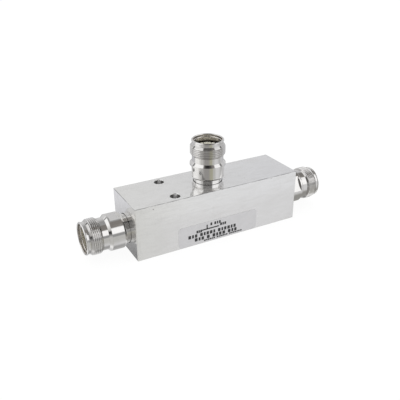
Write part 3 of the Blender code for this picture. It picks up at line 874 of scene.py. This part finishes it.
def plating_material():
    """Bright white-bronze plating on turned brass, with faint turning rings round the axis, and
    painted shade in the thread roots and inside the mouth.
    """
    material, nodes = new_material("bright_plating")
    place = nodes.place()
    x, y, z = nodes.split(place)
    rings = nodes.noise(place, *PLATING_RINGS)
    cloud = nodes.noise(place, *PLATING_CLOUD)
    reach = distance(nodes, x, y)
    in_thread = nodes.math("MULTIPLY", nodes.math("GREATER_THAN", z, BARREL_FRONT),
                           nodes.math("LESS_THAN", z, RELIEF_BACK))
    # Painted shade in the thread's roots, strongest where they are deepest
    root = nodes.ramp(reach, THREAD_RADIUS - THREAD_DEPTH, THREAD_RADIUS - THREAD_DEPTH / 3,
                      THREAD_ROOT_SHADE_SHARE, 0.0)
    inside = nodes.math("MULTIPLY", nodes.math("LESS_THAN", reach, MOUTH_RADIUS + MOUTH_BEVEL / 4),
                        nodes.math("GREATER_THAN", z, COLLAR_BACK))
    # Painted shade deepest in the mouth: full just over the basket's tips, gone higher up
    deep_shade = nodes.ramp(z, BASKET_TIP + MOUTH_SHADE_FULL_HEIGHT, BASKET_TIP + MOUTH_SHADE_END_HEIGHT, 1.0, 0.0)
    tone = mottled(nodes, cloud, PLATING_DARK, PLATING_LIGHT)
    # Lay the painted shade in the thread's roots
    tone = nodes.blend(nodes.math("MULTIPLY", in_thread, root), tone, THREAD_ROOT_SHADE)
    # Painted shade on the mouth's wall, then darker painted shade deepest in the mouth
    tone = nodes.blend(nodes.math("MULTIPLY", inside, MOUTH_WALL_SHADE_SHARE), tone, MOUTH_WALL_SHADE)
    tone = nodes.blend(nodes.math("MULTIPLY", inside, deep_shade), tone, MOUTH_DEEP_SHADE)
    rough = nodes.ramp(rings, 0.3, 0.7, *PLATING_ROUGHNESS)
    rough = nodes.math("MULTIPLY_ADD", inside, MOUTH_WALL_EXTRA_ROUGHNESS, rough)
    metal = nodes.ramp(inside, 0.0, 1.0, 1.0, MOUTH_WALL_METAL)
    strength = nodes.ramp(inside, 0.0, 1.0, PLATING_BUMP, MOUTH_WALL_BUMP)
    finish_material(nodes, tone, rough, bump(nodes, rings, strength, MARK_DEPTH), metal)
    return material


# The contacts' silver: turning rings and clouds, as patterns like the bar's, and the looks
SILVER_RINGS = ((60.0, 60.0, 4200.0), 3.0, 0.6)
SILVER_CLOUD = ((420.0, 420.0, 420.0), 4.0, 0.55)
SILVER_DARK = (0.90, 0.88, 0.74)
SILVER_LIGHT = (0.95, 0.94, 0.84)
SILVER_METAL = 0.30
SILVER_ROUGHNESS = (0.30, 0.40)
SILVER_BUMP = 0.08


def contact_material():
    """Satin silver plating with a faint yellow tarnish."""
    material, nodes = new_material("silver_contact")
    place = nodes.place()
    rings = nodes.noise(place, *SILVER_RINGS)
    tone = mottled(nodes, nodes.noise(place, *SILVER_CLOUD), SILVER_DARK, SILVER_LIGHT)
    rough = nodes.ramp(rings, 0.3, 0.7, *SILVER_ROUGHNESS)
    normal = bump(nodes, rings, SILVER_BUMP, MARK_DEPTH)
    finish_material(nodes, tone, rough, normal, SILVER_METAL)
    return material


# Plastics and rubber: dark and light colour, least and greatest roughness, fineness of the grain
PLASTIC_MOTTLE = ((300.0, 300.0, 300.0), 4.0, 0.5)
GRAIN_BUMP = 0.15
PLASTICS = {
    "label_film": ((0.57, 0.565, 0.575), (0.60, 0.595, 0.605), 0.28, 0.40, 2500.0),
    "label_ink": ((0.025, 0.025, 0.028), (0.04, 0.04, 0.04), 0.45, 0.6, 4000.0),
    "bead_white": ((0.80, 0.80, 0.78), (0.88, 0.88, 0.86), 0.40, 0.55, 2000.0),
    "seal_rubber": ((0.02, 0.02, 0.02), (0.03, 0.03, 0.03), 0.6, 0.8, 3000.0),
}


def plastic_material(name):
    """Moulded plastic or rubber with a soft mottle and a fine grain."""
    dark, light, rough_low, rough_high, fineness = PLASTICS[name]
    material, nodes = new_material(name)
    place = nodes.place()
    tone = mottled(nodes, nodes.noise(place, *PLASTIC_MOTTLE), dark, light)
    grain = nodes.noise(place, (fineness, fineness, fineness), 3.0, 0.6)
    rough = nodes.ramp(grain, 0.3, 0.7, rough_low, rough_high)
    finish_material(nodes, tone, rough, bump(nodes, grain, GRAIN_BUMP, GRAIN_DEPTH))
    return material


def dress_hidden_nodes(beads, rubber, contact):
    """Give the frame's own inner pieces their materials."""
    for node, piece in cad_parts.items():
        if node.endswith("_insulator"):
            material = beads
        elif node.endswith("_seal"):
            material = rubber
        elif node.endswith(("_retainer", "_line_conductor")):
            material = contact
        else:
            continue
        piece.data.materials.clear()
        piece.data.materials.append(material)


def camera_axes():
    """Return the camera's right, up and backward directions."""
    across = math.cos(CAMERA_ELEVATION)
    back = Vector((math.sin(CAMERA_AZIMUTH) * across, -math.cos(CAMERA_AZIMUTH) * across,
                   math.sin(CAMERA_ELEVATION)))
    level = Vector((math.cos(CAMERA_AZIMUTH), math.sin(CAMERA_AZIMUTH), 0.0))
    above = back.cross(level)
    right = level * math.cos(CAMERA_ROLL) + above * math.sin(CAMERA_ROLL)
    up = above * math.cos(CAMERA_ROLL) - level * math.sin(CAMERA_ROLL)
    return right, up, back


def add_camera():
    """Place the camera where the photograph was taken from."""
    right, up, back = camera_axes()
    aim = Vector((0.0, 0.0, (BAR_HIGH.z - BAR_LOW.z) / 2))
    spot = aim + right * CAMERA_SLIDE_RIGHT + up * CAMERA_SLIDE_UP + back * CAMERA_DISTANCE
    data = bpy.data.cameras.new("camera")
    data.sensor_width = SENSOR_WIDTH
    data.lens = FOCAL_PIXELS / IMAGE_SIDE * SENSOR_WIDTH
    data.clip_start = CAMERA_CLIP_START
    camera = bpy.data.objects.new("camera", data)
    bpy.context.scene.collection.objects.link(camera)
    turn = Matrix((right, up, back)).transposed().to_4x4()
    camera.matrix_world = Matrix.Translation(spot) @ turn
    bpy.context.scene.camera = camera


WHITE = (1.0, 1.0, 1.0)

# The studio, in the order in which its parts are laid over each other. Directions are in degrees
# round from the studio's front: middle, half width, height above the horizon, half height, how
# softly the edges end, and the colour
STUDIO_FRONT = math.radians(-118.4)
STUDIO_LEVEL = (0.735, 0.735, 0.74)
STUDIO_CARDS = (
    ("rear_wall", 180, 42, 28, 14, 8, (0.68, 0.68, 0.685)),
    ("rear_right_wall", 148, 24, 28, 14, 8, (0.61, 0.61, 0.63)),
    ("rear_ceiling", 180, 75, 78, 34, 14, (0.36, 0.36, 0.36)),
    ("rear_right_ceiling", 138, 26, 51, 9, 4, (0.22, 0.21, 0.20)),
    ("front_ceiling", 0, 112, 69, 23, 3, (0.25, 0.235, 0.22)),
    ("right_softbox", 69, 31, 27, 17, 3, (1.20, 1.20, 1.20)),
    ("right_softbox_top", 78, 18, 47, 8, 2, (1.10, 1.10, 1.10)),
    ("left_softbox", -80, 40, 30, 32, 4, (1.16, 1.16, 1.16)),
    ("left_softbox_fade", -46, 13, 20, 20, 10, (0.66, 0.655, 0.64)),
    ("camera_gap", -1, 38, 38, 26, 5, (0.15, 0.145, 0.14)),
    ("camera_hood", 4, 34, 67, 6, 1.5, (0.01, 0.01, 0.01)),
    ("table_edge", 4, 46, 1, 9, 3, (0.34, 0.34, 0.34)),
    ("stand", -43, 7, 1, 11, 3, (0.04, 0.04, 0.04)),
    ("near_table", -8, 34, -50, 42, 8, (0.34, 0.33, 0.32)),
    ("near_right_table", 25, 13, -50, 42, 6, (0.44, 0.43, 0.34)),
    ("right_shade", 42, 8, -50, 42, 5, (0.57, 0.57, 0.55)),
    ("left_table", -74, 30, -49, 41, 12, (1.06, 1.06, 1.06)),
    ("left_table_fade", -43, 13, -49, 41, 11, (0.60, 0.595, 0.58)),
    ("far_right_table", 136, 52, -18, 10, 8, (0.52, 0.52, 0.52)),
    ("far_left_table", -119, 7, -18, 10, 4, (0.45, 0.45, 0.45)),
    ("left_wall_foot", -140, 14, -20, 10, 5, (0.69, 0.69, 0.73)),
    ("right_table", 127, 53, -47, 19, 6, (0.34, 0.335, 0.32)),
    ("left_shadow", -134, 9, -35, 6, 3, (0.20, 0.20, 0.205)),
    ("rear_table", 180, 36, -20, 14, 8, (0.45, 0.45, 0.45)),
    ("right_slit", 107, 5, 33, 8, 2, (0.18, 0.18, 0.18)),
    ("left_slit", -113, 5, 31, 8, 2, (0.18, 0.18, 0.18)),
    ("under_table", 180, 130, -90, 22, 8, (0.36, 0.36, 0.36)),
)


def studio_world():
    """Light the object with a soft white studio whose cards only reflections can tell apart."""
    world = bpy.data.worlds.new("studio")
    bpy.context.scene.world = world
    world.use_nodes = True
    nodes = Nodes(world.node_tree)
    x, y, z = nodes.split(nodes.add("ShaderNodeTexCoord").outputs["Generated"])
    azimuth = nodes.math("ARCTAN2", y, x)
    elevation = nodes.math("ARCSINE", z)
    light = STUDIO_LEVEL
    for _, middle, half_width, height, half_height, softness, colour in STUDIO_CARDS:
        turn = nodes.math("SUBTRACT", azimuth, STUDIO_FRONT + math.radians(middle))
        turn = nodes.math("ABSOLUTE", nodes.math("WRAP", turn, math.pi, -math.pi))
        rise = nodes.math("ABSOLUTE", nodes.math("SUBTRACT", elevation, math.radians(height)))
        soft = math.radians(softness)
        wide = math.radians(half_width)
        tall = math.radians(half_height)
        mask = nodes.math("MULTIPLY", nodes.ramp(turn, wide - soft, wide + soft, 1.0, 0.0),
                          nodes.ramp(rise, tall - soft, tall + soft, 1.0, 0.0))
        light = nodes.blend(mask, light, colour)
    rays = nodes.add("ShaderNodeLightPath")
    plain = nodes.math("MAXIMUM", rays.outputs["Is Camera Ray"], rays.outputs["Is Diffuse Ray"])
    light = nodes.blend(plain, light, WHITE)
    shader = nodes.add("ShaderNodeBackground", {"Color": light, "Strength": 1.0})
    nodes.add("ShaderNodeOutputWorld", {"Surface": shader.outputs[0]})


FLOOR_DROP = 0.0001
FLOOR_HALF_SIDE = 6.0
FLOOR_GLOW = 1.06
FLOOR_SHADE_SHARE = 0.14
FLOOR_COLOUR = (0.85, 0.85, 0.85)


def add_floor():
    """Lay a plain white floor that keeps a faint shadow."""
    shape = bmesh.new()
    bmesh.ops.create_grid(shape, x_segments=1, y_segments=1, size=FLOOR_HALF_SIDE)
    material, nodes = new_material("white_floor")
    shade = nodes.add("ShaderNodeBsdfDiffuse", {"Color": FLOOR_COLOUR})
    glow = nodes.add("ShaderNodeEmission", {"Color": WHITE, "Strength": FLOOR_GLOW})
    mix = nodes.add("ShaderNodeMixShader", {"Fac": FLOOR_SHADE_SHARE, 1: glow.outputs[0],
                                            2: shade.outputs[0]})
    nodes.add("ShaderNodeOutputMaterial", {"Surface": mix.outputs[0]})
    floor = add_piece("floor", shape, Matrix.Translation((0.0, 0.0, -FLOOR_DROP)), material)
    floor.visible_glossy = False
    floor.visible_diffuse = False


def main():
    """Dress the frame and set the scene."""
    plating = plating_material()
    contact = contact_material()
    for jack in JACKS:
        make_shell(jack, plating)
        make_basket(jack, contact)
        make_contact(jack, contact)
    make_bar(aluminium_material())
    make_label(plastic_material("label_film"), plastic_material("label_ink"))
    dress_hidden_nodes(plastic_material("bead_white"), plastic_material("seal_rubber"), contact)
    add_camera()
    studio_world()
    add_floor()
    bpy.context.scene.view_settings.view_transform = "Standard"


main()
